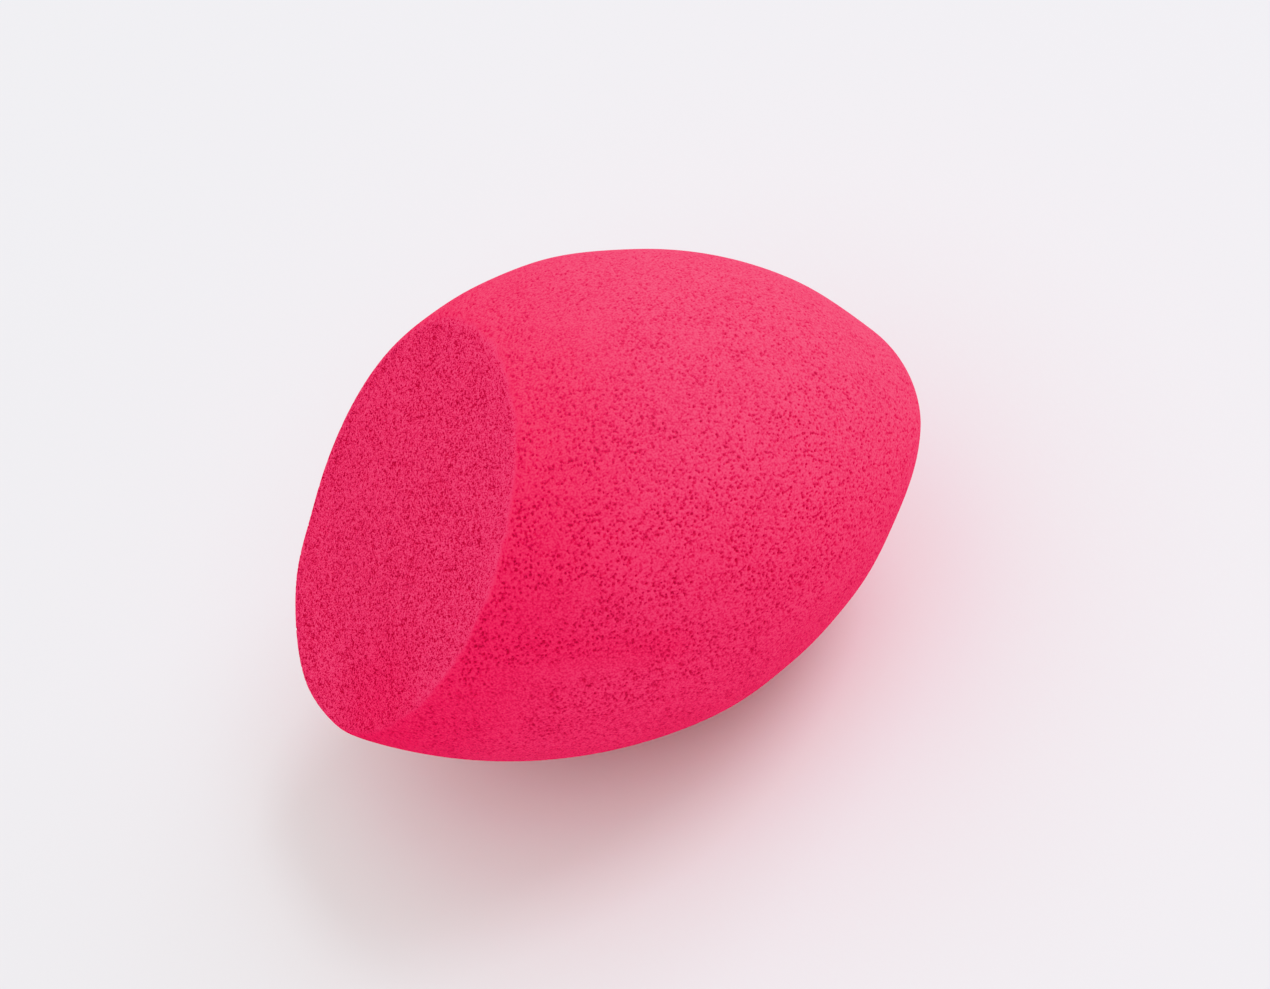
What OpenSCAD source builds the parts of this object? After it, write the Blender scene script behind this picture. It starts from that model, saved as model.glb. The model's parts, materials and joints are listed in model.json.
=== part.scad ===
// Makeup sponge: one moulded piece of soft foam, shaped like an egg, with one
// slanted flat cut across its blunt end. It lies on its side, +X towards the
// tip, +Z up, and is the same on both sides of the plane Y = 0. The origin is
// on the surface that it lies on, under the middle of its length.

/* [Egg body] */
// Largest diameter of the body
body_d = 42; // [34:1:50]
// Distance from the widest place to the tip
tip_len = 28.8; // [26:0.2:38]
// Distance from the widest place to the blunt end, as moulded, before the cut
blunt_len = 32; // [27:0.5:40]
// Radius that the tip is rounded to
tip_r = 10; // [4:0.5:13]
// Radius that the blunt end is rounded to
blunt_r = 15; // [8:0.5:16]

/* [Slanted cut] */
// Distance along the axis from the widest place back to the cut
cut_back = 22.9; // [14:0.1:26]
// Angle between the cut and a cut made square across the axis, in degrees
cut_angle = 43; // [0:0.5:55]

/* [Lying at rest] */
// How far the tip dips when the body lies balanced on its side, in degrees
dip_angle = 3.75; // [0:0.25:10]
// Depth of the flat that the body's own weight presses into its underside
rest_depth = 0.5; // [0.2:0.1:2]

/* [Hidden] */
// Sides of a whole circle, points along each long side of the outline, and
// places looked at round the whole outline to find how far it reaches
$fn = 120;
side_steps = 20;
place_steps = 360;
body_r = body_d / 2;
// How far the last point of a long side is drawn in under the rounded end
tuck = 0.01;
// Reach of the blocks that make the cut and the flat, past the whole body
reach = tip_len + blunt_len + body_d;

// The outline of the egg is two arcs on each end: a long side from the widest
// place, and a rounded end of its own radius, which meet without a corner.
// Radius of the long side of an end that is len long and rounded to end_r
function side_r(len, end_r) =
    (body_r * body_r + len * len - 2 * end_r * len) / (2 * (body_r - end_r));

// Angle that the surface has leaned over by, where the side meets the end
function side_sweep(len, end_r) = atan2(len - end_r, side_r(len, end_r) - body_r);

// Point of an end's outline where the surface leans over by an angle, from 0
// at the widest place to 90 at the very end, as [half-width, place along it]
function end_point(lean, len, end_r) =
    lean < side_sweep(len, end_r)
        ? [body_r + side_r(len, end_r) * (cos(lean) - 1), side_r(len, end_r) * sin(lean)]
        : [end_r * cos(lean), len + end_r * (sin(lean) - 1)];

// Point of the whole outline in the plane Y = 0, as [x, z], where the outward
// direction is turned by an angle from straight up towards the tip
function edge_point(turn) =
    let (
        lean = asin(abs(sin(turn))),
        p = sin(turn) > 0 ? end_point(lean, tip_len, tip_r) : end_point(lean, blunt_len, blunt_r)
    )
    [sign(sin(turn)) * p[1], sign(cos(turn)) * p[0]];

// How far a point of that plane lies outside the slanted cut
function past_cut(p) = (-cut_back - p[0]) * cos(cut_angle) + p[1] * sin(cut_angle);

// The place on the line from a to b that the cut passes through
function cut_corner(a, b) = a + (b - a) * past_cut(a) / (past_cut(a) - past_cut(b));

// A point of that plane, turned as the body lies
function laid(p) = [
    p[0] * cos(dip_angle) + p[1] * sin(dip_angle),
    p[1] * cos(dip_angle) - p[0] * sin(dip_angle)
];

// Outline of the cut body as it lies: the points that are kept, and the
// corners where the cut meets the outline
laid_outline = [
    for (i = [0 : place_steps - 1])
        let (a = edge_point(360 * i / place_steps), b = edge_point(360 * (i + 1) / place_steps))
        each [
            if (past_cut(a) <= 0) laid(a),
            if (past_cut(a) * past_cut(b) < 0) laid(cut_corner(a, b))
        ]
];
laid_xs = [for (p = laid_outline) p[0]];
middle_x = (min(laid_xs) + max(laid_xs)) / 2;
lowest_z = min([for (p = laid_outline) p[1]]);

// Half of one end's outline, with its length along Y from the widest place: a
// polygon for the long side, and a quarter of a disc for the rounded end. The
// side's last point is tucked inside the disc, so that the disc makes the edge
module end_outline(len, end_r) {
    sweep = side_sweep(len, end_r);
    join = end_point(sweep, len, end_r);
    polygon([
        [0, 0],
        for (i = [0 : side_steps - 1]) end_point(sweep * i / side_steps, len, end_r),
        [join[0] - tuck, join[1]],
        [0, join[1]]
    ]);
    translate([0, len - end_r])
        intersection() {
            circle(end_r);
            square(2 * end_r);
        }
}

// The egg as it leaves the mould, lying along the X axis, tip towards +X
module whole_egg() {
    rotate([0, 90, 0])
        rotate_extrude() {
            end_outline(tip_len, tip_r);
            mirror([0, 1])
                end_outline(blunt_len, blunt_r);
        }
}

// Everything on the blunt side of the slanted cut
module past_the_cut() {
    translate([-cut_back, 0, 0])
        rotate([0, cut_angle, 0])
            translate([-reach, -reach, -reach])
                cube([reach, 2 * reach, 2 * reach]);
}

// Everything below the surface that the body lies on
module below_ground() {
    translate([-reach, -reach, -reach])
        cube([2 * reach, 2 * reach, reach]);
}

// The one piece: the egg, cut, laid on its side and pressed flat underneath
module sponge_body() {
    color([0.91, 0.2, 0.38])
        difference() {
            translate([-middle_x, 0, -lowest_z - rest_depth])
                rotate([0, dip_angle, 0])
                    difference() {
                        whole_egg();
                        past_the_cut();
                    }
            below_ground();
        }
}

sponge_body();
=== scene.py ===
# %% [markdown]
# # A makeup sponge of soft foam
#
# The object is one moulded piece of open foam, an egg with a slanted cut across its blunt end. The
# imported part gives its exact place and size. This lesson gives it what the part can't hold: a softly
# rounded cut edge, gentle swells and a fold, a skin full of pores, the finer cells that the knife
# opened, and a matte pink that is never quite even. First the part is loaded, and its box is kept.

# %% Load the part
import json

import bpy
import numpy as np
from mathutils import Matrix, Vector


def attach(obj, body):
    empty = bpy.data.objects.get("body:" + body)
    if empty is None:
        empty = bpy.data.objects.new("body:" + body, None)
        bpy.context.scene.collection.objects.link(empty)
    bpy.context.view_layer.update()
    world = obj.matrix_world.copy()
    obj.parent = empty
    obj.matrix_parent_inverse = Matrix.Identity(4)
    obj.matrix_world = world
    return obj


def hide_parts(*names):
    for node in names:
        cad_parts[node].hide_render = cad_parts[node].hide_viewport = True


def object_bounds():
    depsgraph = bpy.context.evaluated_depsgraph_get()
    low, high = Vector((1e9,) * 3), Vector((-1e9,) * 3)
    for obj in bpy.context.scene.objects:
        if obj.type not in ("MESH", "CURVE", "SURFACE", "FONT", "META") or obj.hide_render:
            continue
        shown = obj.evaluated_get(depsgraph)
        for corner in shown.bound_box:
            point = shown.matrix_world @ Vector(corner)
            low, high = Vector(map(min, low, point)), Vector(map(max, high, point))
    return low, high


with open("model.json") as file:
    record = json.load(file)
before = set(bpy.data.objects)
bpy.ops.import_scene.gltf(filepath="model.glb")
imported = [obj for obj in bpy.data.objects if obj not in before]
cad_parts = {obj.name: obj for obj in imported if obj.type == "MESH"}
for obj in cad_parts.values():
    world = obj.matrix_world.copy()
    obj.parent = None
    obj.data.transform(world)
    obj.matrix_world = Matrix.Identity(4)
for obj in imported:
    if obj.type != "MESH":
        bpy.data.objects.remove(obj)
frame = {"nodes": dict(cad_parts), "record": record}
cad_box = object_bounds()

MM = 0.001
print("part, mm:", [round((high - low) / MM, 2) for low, high in zip(*cad_box)])

# %% [markdown]
# ## The camera
#
# A product photo like this one is taken from well above and from some distance, so that the egg
# isn't stretched. The lens could be set by eye. Here it is worked out instead: the outline of the
# egg and the oval of the cut, drawn for a trial camera, were matched to the picture. The camera also
# rolls about its own axis, because the picture shows the sponge turned.

# %% Set the camera
CAMERA_TURN = np.radians(2.71)
CAMERA_HEIGHT = np.radians(49.34)
CAMERA_ROLL = np.radians(-26.69)
CAMERA_REACH = 299.96
CAMERA_AIM = np.array((3.694, -0.538, 20.0))
LENS = 98.06
SENSOR = 36.0
NEAREST_SEEN = 10.0


def camera_axes(turn, height, roll):
    """Right, up and back of a camera. Back leans up from the ground by height and is turned about
    the vertical by turn. Right is level until roll turns it, with up, about back."""
    back = np.array((np.sin(turn) * np.cos(height), -np.cos(turn) * np.cos(height), np.sin(height)))
    level = np.array((np.cos(turn), np.sin(turn), 0.0))
    steep = np.cross(back, level)
    right = level * np.cos(roll) + steep * np.sin(roll)
    return right, np.cross(back, right), back


view_right, view_up, view_back = camera_axes(CAMERA_TURN, CAMERA_HEIGHT, CAMERA_ROLL)
camera = bpy.data.objects.new("camera", bpy.data.cameras.new("camera"))
camera.data.lens = LENS
camera.data.sensor_width = SENSOR
camera.data.clip_start = NEAREST_SEEN * MM
camera.location = Vector((CAMERA_AIM + view_back * CAMERA_REACH) * MM)
camera.rotation_euler = Matrix((view_right, view_up, view_back)).transposed().to_euler()
bpy.context.scene.collection.objects.link(camera)
bpy.context.scene.camera = camera
print("camera, mm:", [round(place / MM, 1) for place in camera.location])

# %% [markdown]
# ## The smooth form
#
# Before any pore there is a smooth egg. It could be drawn as a mesh of rings, but its blunt end is
# cut and its underside is pressed flat, and each would need rings of its own. So the form is written
# as a distance instead: a number for each point in space that is negative inside, zero on the skin
# and positive outside. Two distances join by taking the larger one, and a soft larger one rounds
# the edge between them, as the soft foam does. The sizes are the part's own, in millimetres. Where
# the egg lies follows from the part's box: the round tip touches the box's end, and the lowest
# place, on the tip's long arc, is as far below the ground as the flat is deep.

# %% Describe the form by its distance
BODY_R = 21.0
TIP_LENGTH, TIP_END_R = 28.8, 10.0
BLUNT_LENGTH, BLUNT_END_R = 32.0, 15.0
DIP = np.radians(3.75)
REST_DEPTH = 0.5
CUT_ROUND = 0.6
GROUND_ROUND = 0.45


def side_radius(length, end_r):
    """Radius of the long arc that leaves the widest place square to it and runs smoothly into a round
    end: a circle whose centre is straight across the axis, tangent to the end's circle."""
    return (BODY_R**2 + length**2 - 2 * end_r * length) / (2 * (BODY_R - end_r))


def half_egg(along, across, length, end_r):
    """Distance from half an egg, from its height along the axis and its place across it. It is
    measured from the long arc's circle, or past the place where they meet, from the end's circle."""
    radius = side_radius(length, end_r)
    meets_at = np.arctan2(length - end_r, radius - BODY_R)
    reach = across + radius - BODY_R
    from_side = np.hypot(along, reach) - radius
    from_end = np.hypot(along - length + end_r, across) - end_r
    return np.where(np.arctan2(along, reach) < meets_at, from_side, from_end)


def soft_larger(one, other, width):
    """The larger of two distances. Where they differ by less than width, a parabola of the difference
    is added, which rounds the edge."""
    near = np.maximum(width - np.abs(one - other), 0) / width
    return np.maximum(one, other) + near**2 * width / 4


cut_mount = next(mount for mount in frame["record"]["mounts"] if mount["name"] == "cut_face")
cut_place = np.array(cut_mount["pos_m"]) / MM
cut_axis = np.array(cut_mount["axis"])
tip_side = side_radius(TIP_LENGTH, TIP_END_R)
egg_x = cad_box[1].x / MM - (TIP_LENGTH - TIP_END_R) * np.cos(DIP) - TIP_END_R
egg_z = tip_side - (tip_side - BODY_R) * np.cos(DIP) - REST_DEPTH
egg_place = np.array((egg_x, 0.0, egg_z))
print("widest place, mm:", egg_place.round(2), "cut face at", cut_place.round(2))


# %% Measure from the whole egg and from the cut
def from_egg(points):
    """Distance from the whole egg, lying with its tip dipped: the points are turned into the egg's
    own frame, and each is measured from the half of the egg that it is beside."""
    x, y, z = np.moveaxis(points - egg_place, -1, 0)
    along = x * np.cos(DIP) - z * np.sin(DIP)
    across = np.hypot(y, x * np.sin(DIP) + z * np.cos(DIP))
    tip = half_egg(along, across, TIP_LENGTH, TIP_END_R)
    blunt = half_egg(-along, across, BLUNT_LENGTH, BLUNT_END_R)
    return np.where(along > 0, tip, blunt)


def from_cut(points):
    """Distance out from the plane of the cut, along its own direction."""
    return (points - cut_place) @ cut_axis


print("widest place from the cut, mm:", from_cut(egg_place).round(2))


# %% Join the egg, the cut and the ground
def from_sponge(points):
    """Distance from the sponge: the soft larger one of the egg, the cut and the ground."""
    cut_egg = soft_larger(from_egg(points), from_cut(points), CUT_ROUND)
    return soft_larger(cut_egg, -points[..., 2], GROUND_ROUND)


SLOPE_STEP = 0.01


def outward(points):
    """Direction in which the distance grows fastest, from its differences along X, Y and Z."""
    steps = np.eye(3) * SLOPE_STEP
    growth = np.stack([from_sponge(points + step) - from_sponge(points - step) for step in steps], -1)
    return growth / np.linalg.norm(growth, axis=-1, keepdims=True)


def onto_sponge(points, moves):
    """Moves points onto the skin, each time by their distance, straight towards it."""
    for _ in range(moves):
        points = points - from_sponge(points)[..., None] * outward(points)
    return points


cad_points = np.zeros(len(frame["nodes"]["sponge_body"].data.vertices) * 3)
frame["nodes"]["sponge_body"].data.vertices.foreach_get("co", cad_points)
misses = from_sponge(cad_points.reshape(-1, 3) / MM)
print("form from the part's corners, mm:", misses.min().round(3), "to", misses.max().round(3))

# %% [markdown]
# ## The net
#
# The skin needs a mesh that is fine and even everywhere, because each pore is only a few cells wide.
# Rings round an axis crowd together at the poles. The skin of a box has no poles: it is six grids,
# which are blown up onto the sponge. Their cells come out uneven at first, so a coarse net is let
# relax: each knot moves towards the middle of its neighbours and back onto the skin, as in a
# stretched net. Then each coarse cell is filled with a fine grid.

# %% Lay out the skin of a box
NET_CELLS = np.array((30, 22, 22))


def box_sides(cells):
    """The six grids of a box of so many cells. Each side comes as its lattice points, whole numbers
    along X, Y and Z, on a grid of two parameters that turn right-handed about the way out."""
    sides = []
    for axis in range(3):
        for end in (0, cells[axis]):
            first, second = (axis + 1) % 3, (axis + 2) % 3
            if end == 0:
                first, second = second, first
            lattice = np.zeros((cells[first] + 1, cells[second] + 1, 3), int)
            lattice[..., axis] = end
            lattice[..., first] = np.arange(cells[first] + 1)[:, None]
            lattice[..., second] = np.arange(cells[second] + 1)
            sides.append(lattice)
    return sides


def grid_quads(rows, columns):
    """Corners of each cell of a grid of points, counted row by row, in the order that faces out."""
    corner = np.arange(rows * columns).reshape(rows, columns)
    quads = (corner[:-1, :-1], corner[1:, :-1], corner[1:, 1:], corner[:-1, 1:])
    return np.stack(quads, -1).reshape(-1, 4)


def all_points(sides):
    """The points of the grids in one row, grid after grid."""
    return np.concatenate([side.reshape(-1, 3) for side in sides])


def join_sides(sides, cells):
    """One net from six grids: points with the same lattice numbers become one. Returns which grid
    point each net point is, which net point each grid point is, and the net's cells."""
    lattice = all_points(sides)
    number = (lattice[:, 0] * (cells[1] + 1) + lattice[:, 1]) * (cells[2] + 1) + lattice[:, 2]
    _, kept, joined = np.unique(number, return_index=True, return_inverse=True)
    starts = np.cumsum([0] + [side[..., 0].size for side in sides[:-1]])
    quads = [grid_quads(*side.shape[:2]) + start for side, start in zip(sides, starts)]
    return kept, joined, joined[np.concatenate(quads)]


coarse_sides = box_sides(NET_CELLS)
print("sides of the coarse net, points:", [side.shape[:2] for side in coarse_sides])

# %% Blow it up and let it relax
NET_STRETCH = (1.5, 1.0, 1.0)
FIRST_MOVES = 4
RELAX_TIMES, RELAX_MOVES = 60, 1
RELAX_PULL = 0.8


def relaxed_net(sides, cells):
    """The sides' points on the sponge. A box lattice at equal angles gives the first directions, and
    the pull of the neighbours along the cells' edges then evens them out."""
    kept, joined, quads = join_sides(sides, cells)
    lattice = all_points(sides)[kept]
    rays = np.tan((lattice / cells - 0.5) * np.pi / 2)
    rays *= BODY_R / np.linalg.norm(rays, axis=1, keepdims=True)
    points = onto_sponge(egg_place + rays * NET_STRETCH, FIRST_MOVES)
    start, end = quads.ravel(), np.roll(quads, -1, axis=1).ravel()
    count = np.bincount(start, minlength=len(points))
    for _ in range(RELAX_TIMES):
        middle = np.stack([np.bincount(start, points[end, axis]) / count for axis in range(3)], -1)
        points = onto_sponge(points + RELAX_PULL * (middle - points), RELAX_MOVES)
    points = points[joined]
    splits = np.cumsum([side[..., 0].size for side in sides])[:-1]
    return [part.reshape(side.shape) for part, side in zip(np.split(points, splits), sides)]


coarse_net = relaxed_net(coarse_sides, NET_CELLS)
print("coarse net, mm:", np.ptp(all_points(coarse_net), axis=0).round(2))

# %% Fill the net
FINE_CELLS = 16
LAST_MOVES = 3


def between(count, fine):
    """How much each coarse row counts in each fine row: straight lines from row to row."""
    place = np.arange(count * fine + 1) / fine
    return np.maximum(1 - np.abs(place[:, None] - np.arange(count + 1)), 0)


def fill_side(side, fine):
    """A fine grid from a coarse one, by straight lines between its rows and between its columns."""
    rows = between(side.shape[0] - 1, fine)
    columns = between(side.shape[1] - 1, fine)
    return np.einsum("ai,bj,ijk->abk", rows, columns, side, optimize=True)


fine_cells = NET_CELLS * FINE_CELLS
fine_sides = [fill_side(side, FINE_CELLS) for side in coarse_net]
kept, _, quads = join_sides(box_sides(fine_cells), fine_cells)
skin = onto_sponge(all_points(fine_sides)[kept], LAST_MOVES)
out = outward(skin)
diagonals = skin[quads[:, 2]] - skin[quads[:, 0]], skin[quads[:, 3]] - skin[quads[:, 1]]
cell_widths = np.sqrt(np.linalg.norm(np.cross(*diagonals), axis=1) / 2)
print("net:", len(skin), "points,", len(quads), "cells")
print("cell widths, mm:", cell_widths.min().round(3), "to", cell_widths.max().round(3))

# %% [markdown]
# ## Swells and a fold
#
# Foam that was packed and pressed isn't a perfect egg. A sculpting brush could push it about by
# hand. Here each push is a short stretch on the skin with a reach and a height, so that it can be
# read and changed. The freshly cut face bulges, the tip leans to one side, the top and the low rim
# of the cut stand a little proud, and one flank is a little flat. A soft fold runs along that flank
# from the edge of the cut: a long dent with a low ridge under it. None is more than a millimetre high.

# %% Push the form out and in
CUT_MIDDLE = tuple(cut_place)
TIP_SIDE, TIP_TOP = (27.0, -6.0, 17.0), (27.5, 2.0, 25.0)
SWELLS = (
    {"start": CUT_MIDDLE, "end": CUT_MIDDLE, "reach": 20.0, "height": 0.8},
    {"start": TIP_SIDE, "end": TIP_SIDE, "reach": 9.0, "height": 0.4},
    {"start": TIP_TOP, "end": TIP_TOP, "reach": 8.0, "height": -0.3},
    {"start": (4.0, 13.0, 36.5), "end": (-1.0, 13.0, 37.0), "reach": 10.0, "height": 0.4},
    {"start": (-26.5, 8.0, 18.0), "end": (-29.0, 1.0, 16.0), "reach": 8.0, "height": 0.4},
    {"start": (10.0, -17.0, 10.5), "end": (14.0, -16.0, 11.5), "reach": 8.0, "height": -0.3},
    {"start": (-11.5, -17.9, 27.6), "end": (3.0, -20.8, 23.4), "reach": 7.0, "height": -0.3},
    {"start": (-12.0, -18.4, 22.5), "end": (1.0, -21.0, 19.0), "reach": 6.5, "height": 0.2},
)


def from_stretch(points, start, end):
    """Distance from a straight stretch: each point is measured from the nearest place along it, and
    where start and end are one place, from there."""
    start, along = np.array(start), np.subtract(end, start)
    length_squared = along @ along
    share = np.clip((points - start) @ along / length_squared, 0, 1) if length_squared else 0.0
    return np.linalg.norm(points - start - np.multiply.outer(share, along), axis=-1)


def dome(share_squared):
    """One in the middle, and smoothly down to nothing at full reach: one less the squared share of
    the reach, cubed."""
    return np.maximum(1 - share_squared, 0) ** 3


def swell_height(points):
    """How far the skin stands out: the sum of the swells' domes, each times its height."""
    total = np.zeros(points.shape[:-1])
    for swell in SWELLS:
        away = from_stretch(points, swell["start"], swell["end"]) / swell["reach"]
        total += swell["height"] * dome(away**2)
    return total


pushed = swell_height(skin)
skin = skin + out * pushed[:, None]
print("swells, mm:", pushed.min().round(2), "to", pushed.max().round(2))

# %% [markdown]
# ## Pores
#
# Foam is gas bubbles frozen in rubber. Where the mould's skin burst, a bubble is open as a pore, and
# the knife opens most of them. A pattern could be painted, but real pits catch the light, so they
# are modelled. Space is divided into small cubes, each with one bubble at a random place and of a
# random size. A bubble's pull fades with the distance from its middle, the pulls are summed, and the
# skin sinks where the sum passes a level, so that neighbours run together into odd shapes. A slow
# random drift of the points bends the shapes further. The random numbers come from the cube's own
# counts, so every run gives the same sponge.

# %% Random numbers for cubes of space
HASH_PRIMES = np.array((73856093, 19349663, 83492791), np.uint32)
HASH_TURNS = np.array(((16, 0x7FEB352D), (16, 0x846CA68B)), np.uint32)
HASH_LAST_SHIFT = np.uint32(15)
SEED_STEP = 0x9E3779B1
NUMBERS = 2**32
CORNERS = np.stack(np.meshgrid((0, 1), (0, 1), (0, 1), indexing="ij"), -1).reshape(-1, 3)


def random_for(cubes, seed, count):
    """Several random numbers from 0 to 1 for each cube: its three counts, times large primes, are
    mixed by turns of shifting and multiplying, once more for each further number."""
    product = cubes.astype(np.uint32) * HASH_PRIMES
    start = np.uint32(seed * SEED_STEP % NUMBERS)
    mixed = product[..., 0] ^ product[..., 1] ^ product[..., 2] ^ start
    numbers = []
    for _ in range(count):
        for shift, factor in HASH_TURNS:
            mixed = (mixed ^ (mixed >> shift)) * factor
        mixed = mixed ^ (mixed >> HASH_LAST_SHIFT)
        numbers.append(mixed / NUMBERS)
    return np.stack(numbers, -1)


print("random numbers for eight cubes:", random_for(CORNERS, seed=1, count=1).ravel().round(2))

# %% A smooth step, a drift and the pull of bubbles
BUBBLE_NUMBERS = 5


def smooth_step(low, high, value):
    """From 0 below low to 1 above high, with a smooth start and end."""
    share = np.clip((value - low) / (high - low), 0, 1)
    return share * share * (3 - 2 * share)


def drift(points, size, seed):
    """A slowly changing random vector, from -1 to 1 each way: the random numbers of the eight cubes
    round a point, blended by a smooth step between the cubes' corners."""
    place = points / size
    low = np.floor(place)
    share = smooth_step(0, 1, place - low)
    total = np.zeros(points.shape)
    for corner in CORNERS:
        weight = np.prod(np.where(corner, share, 1 - share), axis=-1)
        total += weight[:, None] * random_for((low + corner).astype(np.int64), seed, points.shape[-1])
    return total * 2 - 1


def bubble_pull(points, size, open_share, smallest, seed):
    """Summed pull of the bubbles near each point, each a dome. Of a cube's five random numbers three
    place its bubble, one sets its reach, a share of half a cube, and one says whether it is open.
    Only the eight nearest cubes can reach a point."""
    place = points / size
    low = np.floor(place - 0.5)
    total = np.zeros(len(points))
    for corner in CORNERS:
        cube = low + corner
        chance = random_for(cube.astype(np.int64), seed, BUBBLE_NUMBERS)
        middle, size_chance, open_chance = chance[:, :3], chance[:, 3], chance[:, 4]
        apart_squared = ((cube + middle - place) ** 2).sum(axis=-1)
        reach = 0.5 * (smallest + (1 - smallest) * size_chance**2)
        total += np.where(open_chance < open_share, dome(apart_squared / reach**2), 0)
    return total


print("smooth steps:", smooth_step(0, 1, np.linspace(0, 1, 5)).round(2))

# %% [markdown]
# ## The edge of the cut
#
# The knife changed the foam round its edge, and the eye reads the cut by that. Along the edge runs a
# thin pale line where the pores stay shallow, its lighter colour partly a painted highlight on the
# rounded edge. Inside it the cells start out weak, on the camera's side, and outside it a band of
# deeper pink, weaker on the far side, fades over a centimetre: painted shade beside the cut. These
# could be painted on the mesh by hand. Here each is a smooth step of one number, how far a point
# lies past the edge, on the cut's side. A small drift of that number makes the edge stray a little,
# as it does where a knife parts soft foam.

# %% Find the edge and what runs along it
EDGE_STRAY_SIZE, EDGE_STRAY, EDGE_SEED = 1.0, 0.18, 6
EDGE_WIDTH = 0.25
LINE_PLACE, LINE_WIDTH, LINE_LEAST = 0.1, 0.55, 0.4
RIM_WIDTH, RIM_SHARE = 4.0, 0.5
RIM_WAY = (0.52, -0.71, 0.48)
RIM_REACH = 13.0
BAND_WIDTH = 12.0
FAR_STARTS, FAR_FULL, FAR_SHARE = -8.0, 8.0, 0.5

past_edge = from_cut(skin) - from_egg(skin)
past_edge += EDGE_STRAY * drift(skin, EDGE_STRAY_SIZE, EDGE_SEED)[:, 0]
on_cut = smooth_step(-EDGE_WIDTH, EDGE_WIDTH, past_edge)
rim_side = smooth_step(0, RIM_REACH, (skin - cut_place) @ RIM_WAY)
# The pale line has shallow pores, and its lighter colour is partly a painted highlight on the rounded
# edge.
edge_line_and_highlight = 1 - smooth_step(0, LINE_WIDTH, np.abs(past_edge - LINE_PLACE))
edge_line_and_highlight *= LINE_LEAST + (1 - LINE_LEAST) * rim_side
edge_rim = (1 - smooth_step(0, RIM_WIDTH, past_edge)) * on_cut * rim_side
# A band of deeper pink beside the cut, weaker on the far side: painted shade.
edge_shade_band = smooth_step(-BAND_WIDTH, 0, past_edge) * (1 - on_cut)
edge_shade_band *= 1 - FAR_SHARE * smooth_step(FAR_STARTS, FAR_FULL, skin[:, 1])
# Where calm, the colour is painted lighter; along the edge's line partly as a highlight.
calm = np.maximum(edge_line_and_highlight, RIM_SHARE * edge_rim)
print("share of the skin on the cut:", on_cut.mean().round(3))

# %% [markdown]
# ## Painted shade and smoother places
#
# Painted shade deepens the colour at the low corner of the cut and along the upper side of the fold.
# In a narrow line at the bottom of the fold the pores nearly close. Over the top of the sponge,
# towards the tip, the pores are shallower, and the colour there is painted a little duller, as shade.
# These are smooth steps too, of the distance from the corner and from two stretches, and of how far
# the skin faces up and towards the tip.

# %% Find the corner, the fold and the top
# The low corner of the cut and the crease along the upper side of the fold get painted shade.
CORNER = (-23.0, -12.0, 20.0)
CORNER_REACH, CORNER_SHARE = 11.0, 0.6
CREASE_START, CREASE_END = (-10.0, -17.6, 29.3), (1.6, -20.7, 24.0)
CREASE_WIDTH, CREASE_SHARE = 3.0, 0.6
PRESSED_START, PRESSED_END = (-12.4, -18.0, 26.7), (-0.7, -20.7, 23.9)
PRESSED_WIDTH, PRESSED_SHARE = 1.5, 0.7
TOP_WAY = (0.6, 0.0, 0.8)
TOP_STARTS, TOP_FULL, TOP_SHARE = 0.45, 0.9, 0.25

corner = 1 - smooth_step(0, CORNER_REACH, from_stretch(skin, CORNER, CORNER))
crease = 1 - smooth_step(0, CREASE_WIDTH, from_stretch(skin, CREASE_START, CREASE_END))
pressed = 1 - smooth_step(0, PRESSED_WIDTH, from_stretch(skin, PRESSED_START, PRESSED_END))
# The same facing makes the colour duller over the top: painted shade against the lamp.
top = smooth_step(TOP_STARTS, TOP_FULL, out @ TOP_WAY)
# Painted shade: the band beside the cut, the low corner and the fold's crease.
painted_shade = np.maximum(edge_shade_band, CORNER_SHARE * corner)
painted_shade += (1 - painted_shade) * CREASE_SHARE * crease
print("deeper share of the skin:", painted_shade.mean().round(3))

# %% [markdown]
# ## The layers of bubbles
#
# The moulded skin has pores a quarter to half a millimetre wide, often in short chains, with smaller
# and shallower ones between. The cut shows a finer mesh of cells, with a few larger bubbles in it.
# One layer of bubbles looks too even, so each has two: larger and smaller ones, and the deeper of
# the two counts. In some patches of the skin the pores stay faint, as they do in the picture.

# %% Open the pores
SKIN_LAYERS = (
    {"size": 0.5, "open_share": 0.7, "smallest": 0.9, "seed": 2,
     "starts": 0.03, "deepest": 0.74, "depth": 1.0},
    {"size": 0.345, "open_share": 0.9, "smallest": 0.93, "seed": 3,
     "starts": 0.06, "deepest": 0.46, "depth": 0.74},
)
CUT_LAYERS = (
    {"size": 0.53, "open_share": 0.56, "smallest": 0.9, "seed": 4,
     "starts": 0.11, "deepest": 0.37, "depth": 0.85},
    {"size": 0.3, "open_share": 0.85, "smallest": 0.99, "seed": 5,
     "starts": 0.05, "deepest": 0.24, "depth": 0.7},
)
WARP_SIZE, WARP_REACH, WARP_SEED = 0.4, 0.06, 1
PATCH_SIZE, PATCH_SEED = 3.5, 7
PATCH_STARTS, PATCH_FULL, PATCH_SHARE = 0.1, 0.6, 0.4
CALM_SHARE = 0.5
PORE_DEPTH = 0.18
COUNTS_AS_OPEN = 0.5


def layer_pits(points, size, open_share, smallest, seed, starts, deepest, depth):
    """How deep the skin lies in a layer of bubbles: a smooth step of their summed pull, from where
    the skin starts to sink to where it is deepest, times the layer's depth."""
    return depth * smooth_step(starts, deepest, bubble_pull(points, size, open_share, smallest, seed))


def deepest_pits(points, layers):
    """How deep the skin lies in several layers of bubbles: the deepest of them counts."""
    return np.max([layer_pits(points, **layer) for layer in layers], axis=0)


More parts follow.
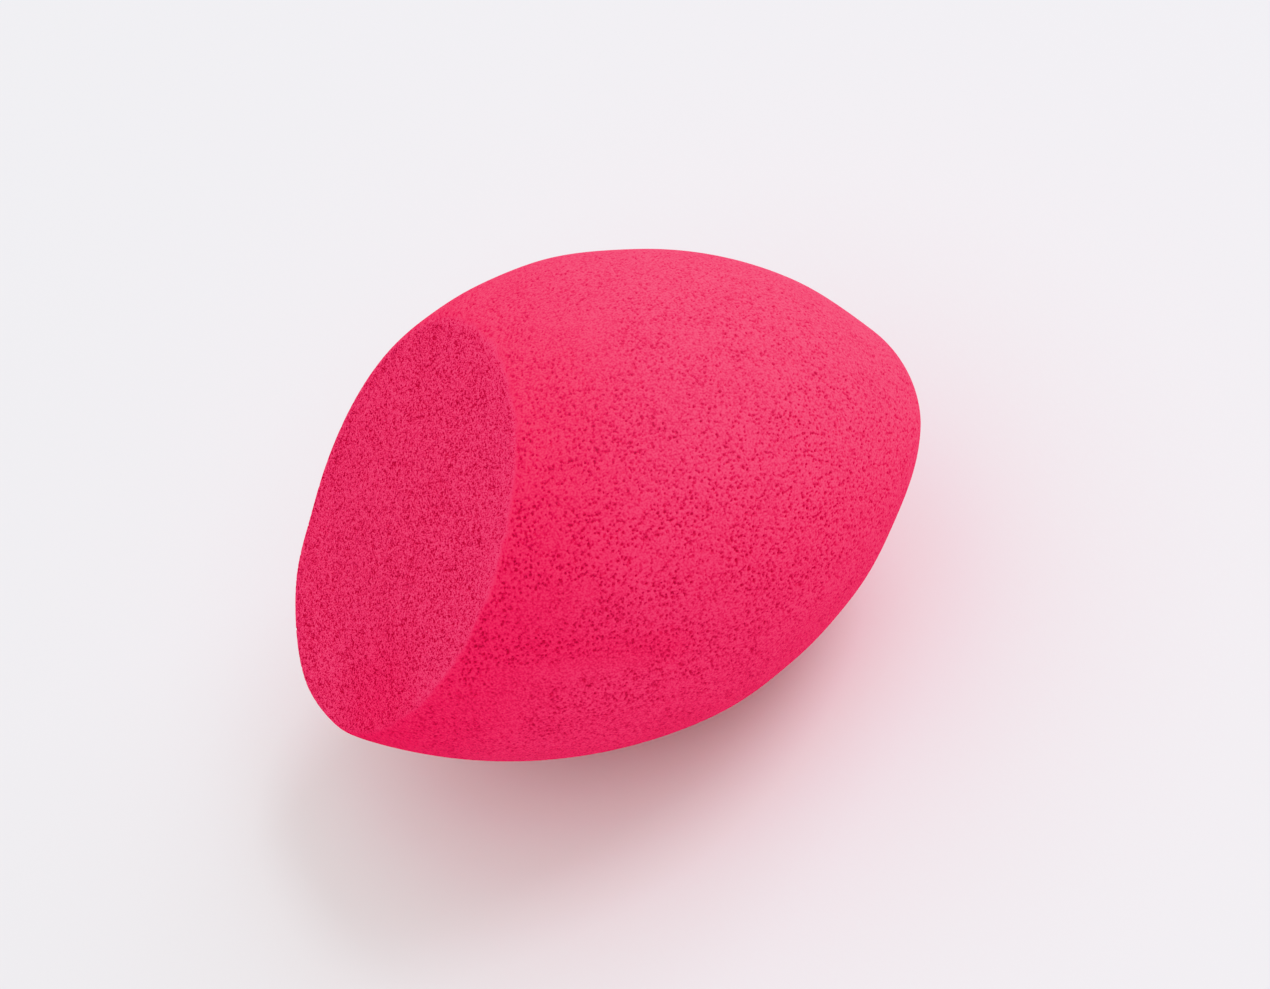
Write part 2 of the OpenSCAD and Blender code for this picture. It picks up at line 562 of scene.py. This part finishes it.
warped = skin + WARP_REACH * drift(skin, WARP_SIZE, WARP_SEED)
patch = smooth_step(PATCH_STARTS, PATCH_FULL, drift(skin, PATCH_SIZE, PATCH_SEED)[:, 0])
skin_pores = deepest_pits(warped, SKIN_LAYERS)
skin_pores *= (1 - PATCH_SHARE * patch) * (1 - PRESSED_SHARE * pressed) * (1 - TOP_SHARE * top)
cut_pores = deepest_pits(warped, CUT_LAYERS)
pores = (skin_pores + (cut_pores - skin_pores) * on_cut) * (1 - CALM_SHARE * calm)
foam = skin - out * (PORE_DEPTH * pores)[:, None]
print("open share of the skin:", (skin_pores > COUNTS_AS_OPEN).mean().round(3))
print("open share of the cut:", (cut_pores > COUNTS_AS_OPEN).mean().round(3))

# %% [markdown]
# ## The foam as a mesh
#
# The points and cells go into one mesh. The pores, the cut, the calm along its edge, the painted
# shade and the top go with it as attributes, numbers at the points that the material reads. A UV
# map lays the six grids side by side in two columns. It is there for baking, because an automatic
# map would fall to pieces on so rough a skin.

# %% Make the mesh
UV_COLUMNS, UV_ROWS = 2, 3
UV_MARGIN = 0.004


def mesh_from(name, points, quads):
    """A mesh from arrays of points, in metres, and of four corners for each face."""
    mesh = bpy.data.meshes.new(name)
    mesh.vertices.add(len(points))
    mesh.vertices.foreach_set("co", points.astype(np.float32).ravel())
    mesh.loops.add(quads.size)
    mesh.loops.foreach_set("vertex_index", quads.astype(np.int32).ravel())
    mesh.polygons.add(len(quads))
    mesh.polygons.foreach_set("loop_start", np.arange(0, quads.size, quads.shape[1], dtype=np.int32))
    mesh.update(calc_edges=True)
    mesh.validate()
    mesh.shade_smooth()
    return mesh


def side_uvs(sides):
    """A UV for each corner of each cell: every grid fills its own box, in columns and rows."""
    uvs = []
    for index, side in enumerate(sides):
        rows, columns = side.shape[:2]
        u, v = np.meshgrid(np.linspace(0, 1, rows), np.linspace(0, 1, columns), indexing="ij")
        box = np.array((index % UV_COLUMNS, index // UV_COLUMNS)) / (UV_COLUMNS, UV_ROWS)
        room = np.array((1 / UV_COLUMNS, 1 / UV_ROWS)) - 2 * UV_MARGIN
        grid = box + UV_MARGIN + np.stack((u, v), -1) * room
        uvs.append(grid.reshape(-1, 2)[grid_quads(rows, columns)])
    return np.concatenate(uvs).reshape(-1, 2)


sponge_mesh = mesh_from("sponge_foam", foam * MM, quads)
# One of these attributes carries the painted shade beside the cut, along the fold and at the corner.
places = {"pore": pores, "cut": on_cut, "calm": calm, "painted_shade": painted_shade, "top": top}
for name, values in places.items():
    attribute = sponge_mesh.attributes.new(name, "FLOAT", "POINT")
    attribute.data.foreach_set("value", values.astype(np.float32))
uv_map = sponge_mesh.uv_layers.new(name="OFBake")
uv_map.data.foreach_set("uv", side_uvs(fine_sides).astype(np.float32).ravel())
sponge = bpy.data.objects.new("sponge_foam", sponge_mesh)
bpy.context.scene.collection.objects.link(sponge)
print("foam:", len(sponge_mesh.polygons) * 2, "triangles")

# %% [markdown]
# ## The foam's finish
#
# The foam is dyed through and fully matte. Its thin walls let red light pass, so a pore looks deep
# red rather than black. Subsurface light could give that, but it would blur cells this fine, so the
# pores have a darker, redder colour instead: painted shade in the pits, with the red that the walls
# let through. A material is a tree of nodes. To keep its sums readable, a small class wraps a node's
# output, so that a Python sum or product adds the Math node for it. The Mix node has sockets for
# several kinds of value, so its share and its colours are picked by number.


# %% A number in a material
class Value:
    """A number in a material. Sums and products with it add Math nodes to its tree."""

    def __init__(self, tree, socket):
        self.tree, self.socket = tree, socket

    def math(self, operation, first, second):
        """Adds a Math node for two numbers, plain ones or Values, and returns its result."""
        node = self.tree.node("ShaderNodeMath", {"operation": operation}, {0: first, 1: second})
        return Value(self.tree, node.outputs[0])

    def __add__(self, other):
        return self.math("ADD", self, other)

    def __radd__(self, other):
        return self.math("ADD", other, self)

    def __sub__(self, other):
        return self.math("SUBTRACT", self, other)

    def __rsub__(self, other):
        return self.math("SUBTRACT", other, self)

    def __mul__(self, other):
        return self.math("MULTIPLY", self, other)

    def __rmul__(self, other):
        return self.math("MULTIPLY", other, self)


# %% The nodes of a material
MIX_SHARE, MIX_FIRST, MIX_SECOND, MIX_RESULT = 0, 6, 7, 2


class Tree:
    """The nodes of one material, with the socket that gives a point's place in its own object."""

    def __init__(self, name):
        self.material = bpy.data.materials.new(name)
        self.material.use_nodes = True
        self.nodes = self.material.node_tree.nodes
        self.nodes.clear()
        self.place = self.node("ShaderNodeTexCoord").outputs["Object"]

    def node(self, kind, settings=None, inputs=None):
        """Adds a node of a kind, sets its settings first, and then the values or links of its
        sockets."""
        node = self.nodes.new(kind)
        for name, value in (settings or {}).items():
            setattr(node, name, value)
        for name, value in (inputs or {}).items():
            socket = value.socket if isinstance(value, Value) else value
            if isinstance(socket, bpy.types.NodeSocket):
                self.material.node_tree.links.new(socket, node.inputs[name])
            else:
                node.inputs[name].default_value = socket
        return node

    def attribute(self, name):
        """A number kept at the mesh's points."""
        return Value(self, self.node("ShaderNodeAttribute", {"attribute_name": name}).outputs["Fac"])

    def noise(self, width, detail):
        """Soft random values about one half, in patches of that width in metres."""
        inputs = {"Vector": self.place, "Scale": 1 / width, "Detail": detail}
        return Value(self, self.node("ShaderNodeTexNoise", None, inputs).outputs["Fac"])

    def blend(self, share, first, second):
        """A colour between two, from the first at share 0 to the second at share 1."""
        settings = {"data_type": "RGBA", "clamp_factor": True}
        inputs = {MIX_SHARE: share, MIX_FIRST: first, MIX_SECOND: second}
        return self.node("ShaderNodeMix", settings, inputs).outputs[MIX_RESULT]

    def surface(self, inputs):
        """Ends the tree in one Principled surface with these inputs, and returns the material."""
        shader = self.node("ShaderNodeBsdfPrincipled", None, inputs)
        self.node("ShaderNodeOutputMaterial", None, {"Surface": shader.outputs[0]})
        return self.material


# %% [markdown]
# ## The dye and painted shade
#
# The colour runs between a pink, where the foam stands out, and a darker red, painted shade where it
# lies deep. Both depend on the place. Over the top both are painted a little duller, as shade that
# keeps the lamp from turning them too pale. Beside the cut, along the fold and at the low corner a
# deeper pink is painted shade. The cut's pink is cooler, partly because fresh foam shows and partly
# as painted sheen, since the lamp doesn't reach the cut. What mixes pink and red is one sum: a base
# that the calm edge lacks, so that the edge is painted lighter, along its line partly as a highlight,
# the pore's depth, a grain for cells too fine to model, and a slow mottle from the dye. The same
# grain raises tiny bumps.

# %% Paint the foam
RIDGE_PINK = (0.98, 0.060, 0.175, 1.0)
# A duller pink over the top: painted shade where the lamp would make it too pale.
TOP_SHADED_PINK = (0.94, 0.061, 0.175, 1.0)
# A deeper pink: painted shade beside the cut, along the fold and at the low corner.
SHADE_PINK = (0.97, 0.032, 0.131, 1.0)
# The pores' red is darker than the pink: painted shade in the pits, with the red that thin walls let
# through.
PORE_SHADE_RED = (0.60, 0.031, 0.080, 1.0)
# A duller red over the top, painted shade as well.
TOP_PORE_SHADE_RED = (0.50, 0.040, 0.086, 1.0)
# The cut's cooler, paler pink is partly fresh foam and partly painted sheen, where the lamp doesn't
# reach.
CUT_PINK_AND_SHEEN = (0.965, 0.078, 0.202, 1.0)
# The cut's red, too, is painted shade in its open cells.
CUT_PORE_SHADE_RED = (0.55, 0.022, 0.058, 1.0)
BASE_SHARE, PORE_SHARE = 0.27, 0.72
NOISE_MIDDLE = 0.5
SKIN_GRAIN_SIZE, SKIN_GRAIN = 0.17, 1.7
CUT_GRAIN_SIZE, CUT_GRAIN = 0.125, 3.6
CALM_GRAIN, GRAIN_DETAIL = 0.25, 0.0
MOTTLE_SIZE, MOTTLE, MOTTLE_DETAIL = 3.0, 0.4, 2.0
BUMP_STRENGTH, BUMP_DEPTH = 0.2, 0.05
ROUGHNESS, PORE_ROUGHNESS = 0.9, 0.1
GLOSS = 0.05


def foam_material():
    """Dyed foam: pink on its ridges and red in its pores, the red darker as painted shade in the pits,
    with grain and mottle between them. Painted shade dulls the top and deepens the pink beside the
    cut, along the fold and at the low corner, the cut's pink is partly painted sheen, and the finest
    cells are bumps."""
    tree = Tree("pink_foam")
    pore, cut, calm, painted_shade, top = [tree.attribute(name) for name in places]
    mottle = (tree.noise(MOTTLE_SIZE * MM, MOTTLE_DETAIL) - NOISE_MIDDLE) * MOTTLE
    skin_grain = (tree.noise(SKIN_GRAIN_SIZE * MM, GRAIN_DETAIL) - NOISE_MIDDLE) * SKIN_GRAIN
    cut_grain = (tree.noise(CUT_GRAIN_SIZE * MM, GRAIN_DETAIL) - NOISE_MIDDLE) * CUT_GRAIN
    grain = (skin_grain + (cut_grain - skin_grain) * cut) * (1 - CALM_GRAIN * calm)
    # The duller top and the deeper pink beside the cut, along the fold and at the corner are painted
    # shade.
    skin_pink = tree.blend(painted_shade, tree.blend(top, RIDGE_PINK, TOP_SHADED_PINK), SHADE_PINK)
    # The cut's pink takes the deeper painted shade too.
    pink = tree.blend(cut, skin_pink, tree.blend(painted_shade, CUT_PINK_AND_SHEEN, SHADE_PINK))
    # The red that the pores and the cut's cells take is painted shade in the pits.
    red = tree.blend(cut, tree.blend(top, PORE_SHADE_RED, TOP_PORE_SHADE_RED), CUT_PORE_SHADE_RED)
    depth = BASE_SHARE * (1 - calm) + pore * PORE_SHARE + grain + mottle
    bump_inputs = {"Strength": BUMP_STRENGTH, "Distance": BUMP_DEPTH * MM, "Height": grain}
    return tree.surface({
        "Base Color": tree.blend(depth, pink, red),
        "Roughness": ROUGHNESS + pore * PORE_ROUGHNESS,
        "Specular IOR Level": GLOSS,
        "Normal": tree.node("ShaderNodeBump", None, bump_inputs).outputs[0],
    })


pink_foam = foam_material()
sponge_mesh.materials.append(pink_foam)
print("nodes of the foam's finish:", len(pink_foam.node_tree.nodes))

# %% [markdown]
# ## Stage and light
#
# The sponge lies on a pale card in an even white studio. The picture has almost no shade, so a white
# sky on every side gives most of the light. One large lamp, slightly cool, stands above the sponge
# beyond its tip. It brightens the tip and the top and leaves the cut face a little darker. So strong
# a pink would turn orange or lose its shape under a film-like view. The neutral view keeps the
# colours of a product as they are, and only softens the brightest ones. The stage's sizes are
# in metres.

# %% Lay the card
FLOOR_SIZE = 4.0
CARD_DARK, CARD_PALE = (0.77, 0.77, 0.77, 1.0), (0.79, 0.79, 0.79, 1.0)
CARD_MOTTLE, CARD_DETAIL, CARD_ROUGHNESS = 0.05, 2.0, 0.9


def card_material():
    """Pale matte card with a faint mottle."""
    tree = Tree("pale_card")
    colour = tree.blend(tree.noise(CARD_MOTTLE, CARD_DETAIL), CARD_DARK, CARD_PALE)
    return tree.surface({"Base Color": colour, "Roughness": CARD_ROUGHNESS})


floor_corners = np.array(((-1, -1, 0), (1, -1, 0), (1, 1, 0), (-1, 1, 0))) * FLOOR_SIZE / 2
floor_mesh = mesh_from("floor", floor_corners, np.array([(0, 1, 2, 3)]))
floor_mesh.materials.append(card_material())
floor = bpy.data.objects.new("floor", floor_mesh)
bpy.context.scene.collection.objects.link(floor)
print("card, m:", list(floor.dimensions))

# %% Light the stage
SKY_WHITE = (1.0, 1.0, 1.0, 1.0)
SKY = 1.05
KEY_WAY = np.array((0.69, 0.24, 0.68))
KEY_REACH, KEY_SIZE, KEY_POWER = 0.7, 0.5, 3.36
KEY_COLOUR = (0.893, 0.875, 1.0)
NEUTRAL_VIEW = "Khronos PBR Neutral"

world = bpy.data.worlds.new("studio")
world.use_nodes = True
sky = world.node_tree.nodes["Background"]
sky.inputs["Color"].default_value = SKY_WHITE
sky.inputs["Strength"].default_value = SKY
bpy.context.scene.world = world

key = bpy.data.objects.new("key", bpy.data.lights.new("key", "AREA"))
key.data.size = KEY_SIZE
key.data.energy = KEY_POWER
key.data.color = KEY_COLOUR
key.location = Vector(KEY_WAY / np.linalg.norm(KEY_WAY) * KEY_REACH)
key.rotation_euler = key.location.to_track_quat("Z", "Y").to_euler()
bpy.context.scene.collection.objects.link(key)
bpy.context.scene.view_settings.view_transform = NEUTRAL_VIEW
print("lamp, mm:", [round(place / MM) for place in key.location])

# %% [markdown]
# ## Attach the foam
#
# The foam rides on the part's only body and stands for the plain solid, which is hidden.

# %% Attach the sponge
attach(sponge, "root")
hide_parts("sponge_body")
